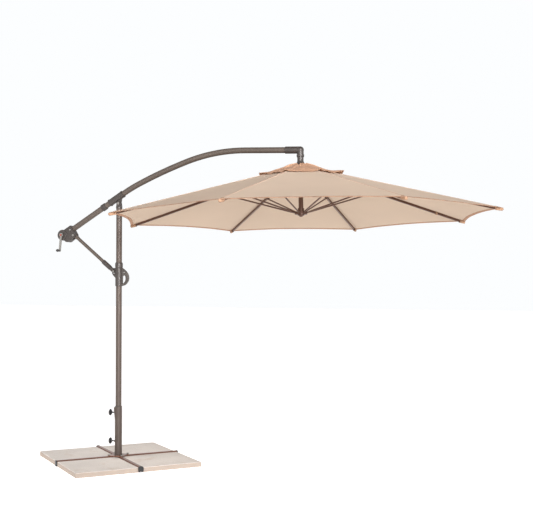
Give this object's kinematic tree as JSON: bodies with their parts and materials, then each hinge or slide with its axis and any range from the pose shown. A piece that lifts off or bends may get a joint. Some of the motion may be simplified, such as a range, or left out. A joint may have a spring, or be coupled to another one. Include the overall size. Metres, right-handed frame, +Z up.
{
  "type": "cantilever parasol",
  "caption": "Free-standing cantilever parasol: slab-weighted cross base, upright mast, curved tilting arm with crank, and a rib-framed hanging cloth canopy.",
  "frame": {"origin": "on the floor under the mast's axis, at the middle of the base", "axes": "+Z up along the mast, +X from the mast towards the canopy, +Y to the back of the arm's plane; the crank is on the -Y side"},
  "size_m": [3.7748, 2.9926, 2.5306],
  "materials": {
    "concrete": "cast, fine pitted",
    "base_steel": "satin bronze-grey paint",
    "mast_paint": "satin bronze-grey powder coat",
    "arm_paint": "satin bronze-grey powder coat",
    "fitting": "dark painted casting",
    "rib_paint": "dark bronze powder coat",
    "black_plastic": "moulded, matt",
    "dark_plastic": "moulded, matt",
    "grip_plastic": "moulded, matt",
    "light_metal": "cast and brushed",
    "bright_steel": "zinc plated",
    "canopy_fabric": "woven terracotta-beige cloth"
  },
  "bodies": {
    "base": {"slab_front": "concrete", "slab_right": "concrete", "slab_back": "concrete", "slab_left": "concrete", "cross_bars": "base_steel", "bar_end_caps": "black_plastic", "base_plate": "base_steel", "plate_bolts": "bright_steel", "lower_tube": "base_steel", "tube_bushes": "dark_plastic"},
    "mast": {"mast_tube": "mast_paint", "mast_clevis": "fitting", "pivot_bolt": "bright_steel"},
    "knob_upper": {"clamp_knob_upper": "black_plastic"},
    "knob_lower": {"clamp_knob_lower": "black_plastic"},
    "sleeve": {"sleeve_body": "fitting", "sleeve_handle": "dark_plastic", "handle_bolt": "bright_steel"},
    "arm": {"arm_tube": "arm_paint", "arm_bracket": "fitting", "arm_collar": "fitting", "crank_housing": "fitting", "crank_cover": "fitting", "housing_bolts": "bright_steel", "arm_elbow": "fitting"},
    "strut": {"strut_tube": "arm_paint", "strut_fork": "fitting", "strut_pin": "bright_steel"},
    "crank": {"cord_spool": "dark_plastic", "crank_lever": "light_metal"},
    "grip": {"crank_grip": "grip_plastic"},
    "canopy_hub": {"swivel_neck": "fitting", "rib_crown": "dark_plastic", "crown_pins": "bright_steel"},
    "runner_group": {"runner": "dark_plastic", "centre_tube": "arm_paint"},
    "rib_group_1": {"rib_1": "rib_paint", "canopy_panel_1": "canopy_fabric"},
    "rib_group_2": {"rib_2": "rib_paint", "canopy_panel_2": "canopy_fabric"},
    "rib_group_3": {"rib_3": "rib_paint", "canopy_panel_3": "canopy_fabric"},
    "rib_group_4": {"rib_4": "rib_paint", "canopy_panel_4": "canopy_fabric"},
    "rib_group_5": {"rib_5": "rib_paint", "canopy_panel_5": "canopy_fabric"},
    "rib_group_6": {"rib_6": "rib_paint", "canopy_panel_6": "canopy_fabric"},
    "rib_group_7": {"rib_7": "rib_paint", "canopy_panel_7": "canopy_fabric"},
    "rib_group_8": {"rib_8": "rib_paint", "canopy_panel_8": "canopy_fabric"},
    "stretcher_group_1": {"stretcher_1": "rib_paint"},
    "stretcher_group_2": {"stretcher_2": "rib_paint"},
    "stretcher_group_3": {"stretcher_3": "rib_paint"},
    "stretcher_group_4": {"stretcher_4": "rib_paint"},
    "stretcher_group_5": {"stretcher_5": "rib_paint"},
    "stretcher_group_6": {"stretcher_6": "rib_paint"},
    "stretcher_group_7": {"stretcher_7": "rib_paint"},
    "stretcher_group_8": {"stretcher_8": "rib_paint"}
  },
  "joints": [
    {"name": "mast_swivel", "type": "hinge", "parent": "base", "child": "mast", "pos_m": [0, 0, 0.062], "axis": [0, 0, 1], "continuous": true},
    {"name": "knob_upper_turn", "type": "hinge", "parent": "base", "child": "knob_upper", "pos_m": [-0.05, 0, 0.399], "axis": [1, 0, 0], "continuous": true},
    {"name": "knob_lower_turn", "type": "hinge", "parent": "base", "child": "knob_lower", "pos_m": [-0.05, 0, 0.164], "axis": [1, 0, 0], "continuous": true},
    {"name": "arm_tilt", "type": "hinge", "parent": "mast", "child": "arm", "pos_m": [0, 0, 2.12], "axis": [0, -1, 0], "range_deg": [-3, 25]},
    {"name": "sleeve_slide", "type": "slide", "parent": "mast", "child": "sleeve", "axis": [0, 0, 1], "range_m": [-0.28, 0.035]},
    {"name": "strut_hinge", "type": "hinge", "parent": "arm", "child": "strut", "pos_m": [-0.413, 0, 1.865], "axis": [0, -1, 0], "range_deg": [-48, 6]},
    {"name": "canopy_swivel", "type": "hinge", "parent": "arm", "child": "canopy_hub", "pos_m": [1.54049, 0, 2.48854], "axis": [-0.0175, 0, 0.9998], "continuous": true},
    {"name": "canopy_fold", "type": "hinge", "parent": "canopy_hub", "child": "rib_group_1", "pos_m": [1.51427, -0.02493, 2.34706], "axis": [0.656, -0.7547, 0.0114], "range_deg": [0, 71], "deforming": ["canopy_panel_1"]},
    {"name": "rib_2_fold", "type": "hinge", "parent": "canopy_hub", "child": "rib_group_2", "pos_m": [1.54029, -0.03791, 2.34751], "axis": [0.9974, -0.0698, 0.0174], "range_deg": [0, 71], "deforming": ["canopy_panel_2"]},
    {"name": "rib_3_fold", "type": "hinge", "parent": "canopy_hub", "child": "rib_group_3", "pos_m": [1.56787, -0.02868, 2.34799], "axis": [0.7546, 0.6561, 0.0132], "range_deg": [0, 71], "deforming": ["canopy_panel_3"]},
    {"name": "rib_4_fold", "type": "hinge", "parent": "canopy_hub", "child": "rib_group_4", "pos_m": [1.58085, -0.00265, 2.34822], "axis": [0.0697, 0.9976, 0.0012], "range_deg": [0, 71], "deforming": ["canopy_panel_4"]},
    {"name": "rib_5_fold", "type": "hinge", "parent": "canopy_hub", "child": "rib_group_5", "pos_m": [1.57162, 0.02493, 2.34806], "axis": [-0.656, 0.7547, -0.0114], "range_deg": [0, 71], "deforming": ["canopy_panel_5"]},
    {"name": "rib_6_fold", "type": "hinge", "parent": "canopy_hub", "child": "rib_group_6", "pos_m": [1.5456, 0.03791, 2.3476], "axis": [-0.9974, 0.0698, -0.0174], "range_deg": [0, 71], "deforming": ["canopy_panel_6"]},
    {"name": "rib_7_fold", "type": "hinge", "parent": "canopy_hub", "child": "rib_group_7", "pos_m": [1.51802, 0.02868, 2.34712], "axis": [-0.7546, -0.6561, -0.0132], "range_deg": [0, 71], "deforming": ["canopy_panel_7"]},
    {"name": "rib_8_fold", "type": "hinge", "parent": "canopy_hub", "child": "rib_group_8", "pos_m": [1.50504, 0.00265, 2.34689], "axis": [-0.0697, -0.9976, -0.0012], "range_deg": [0, 71], "deforming": ["canopy_panel_8"]},
    {"name": "stretcher_1_hinge", "type": "hinge", "parent": "rib_group_1", "child": "stretcher_group_1", "pos_m": [1.07333, -0.41088, 2.16846], "axis": [0.656, -0.7547, 0.0114], "range_deg": [-142, 0]},
    {"name": "stretcher_2_hinge", "type": "hinge", "parent": "rib_group_2", "child": "stretcher_group_2", "pos_m": [1.50225, -0.62476, 2.17595], "axis": [0.9974, -0.0698, 0.0174], "range_deg": [-142, 0]},
    {"name": "stretcher_3_hinge", "type": "hinge", "parent": "rib_group_3", "child": "stretcher_group_3", "pos_m": [1.95675, -0.47266, 2.18388], "axis": [0.7546, 0.6561, 0.0132], "range_deg": [-142, 0]},
    {"name": "stretcher_4_hinge", "type": "hinge", "parent": "rib_group_4", "child": "stretcher_group_4", "pos_m": [2.17059, -0.04369, 2.18762], "axis": [0.0697, 0.9976, 0.0012], "range_deg": [-142, 0]},
    {"name": "stretcher_5_hinge", "type": "hinge", "parent": "rib_group_5", "child": "stretcher_group_5", "pos_m": [2.01852, 0.41088, 2.18496], "axis": [-0.656, 0.7547, -0.0114], "range_deg": [-142, 0]},
    {"name": "stretcher_6_hinge", "type": "hinge", "parent": "rib_group_6", "child": "stretcher_group_6", "pos_m": [1.58961, 0.62476, 2.17747], "axis": [-0.9974, 0.0698, -0.0174], "range_deg": [-142, 0]},
    {"name": "stretcher_7_hinge", "type": "hinge", "parent": "rib_group_7", "child": "stretcher_group_7", "pos_m": [1.13511, 0.47266, 2.16954], "axis": [-0.7546, -0.6561, -0.0132], "range_deg": [-142, 0]},
    {"name": "stretcher_8_hinge", "type": "hinge", "parent": "rib_group_8", "child": "stretcher_group_8", "pos_m": [0.92126, 0.04369, 2.16581], "axis": [-0.0697, -0.9976, -0.0012], "range_deg": [-142, 0]},
    {"name": "runner_slide", "type": "slide", "parent": "canopy_hub", "child": "runner_group", "axis": [0.0175, 0, -0.9998], "range_m": [0, 0.884]},
    {"name": "crank_turn", "type": "hinge", "parent": "arm", "child": "crank", "pos_m": [-0.515, 0, 1.867], "axis": [0, -1, 0], "range_deg": [0, 3640]},
    {"name": "grip_spin", "type": "hinge", "parent": "crank", "child": "grip", "pos_m": [-0.528, -0.072, 1.736], "axis": [0, 1, 0], "continuous": true}
  ],
  "couplings": [
    {"joint": "sleeve_slide", "follows": "arm_tilt", "m_per_rad": -0.638},
    {"joint": "strut_hinge", "follows": "arm_tilt", "ratio": -1.9},
    {"joint": "rib_2_fold", "follows": "canopy_fold", "ratio": 1},
    {"joint": "rib_3_fold", "follows": "canopy_fold", "ratio": 1},
    {"joint": "rib_4_fold", "follows": "canopy_fold", "ratio": 1},
    {"joint": "rib_5_fold", "follows": "canopy_fold", "ratio": 1},
    {"joint": "rib_6_fold", "follows": "canopy_fold", "ratio": 1},
    {"joint": "rib_7_fold", "follows": "canopy_fold", "ratio": 1},
    {"joint": "rib_8_fold", "follows": "canopy_fold", "ratio": 1},
    {"joint": "stretcher_1_hinge", "follows": "canopy_fold", "ratio": -2},
    {"joint": "stretcher_2_hinge", "follows": "canopy_fold", "ratio": -2},
    {"joint": "stretcher_3_hinge", "follows": "canopy_fold", "ratio": -2},
    {"joint": "stretcher_4_hinge", "follows": "canopy_fold", "ratio": -2},
    {"joint": "stretcher_5_hinge", "follows": "canopy_fold", "ratio": -2},
    {"joint": "stretcher_6_hinge", "follows": "canopy_fold", "ratio": -2},
    {"joint": "stretcher_7_hinge", "follows": "canopy_fold", "ratio": -2},
    {"joint": "stretcher_8_hinge", "follows": "canopy_fold", "ratio": -2},
    {"joint": "runner_slide", "follows": "canopy_fold", "m_per_rad": 0.71175},
    {"joint": "crank_turn", "follows": "canopy_fold", "ratio": 51.2}
  ]
}
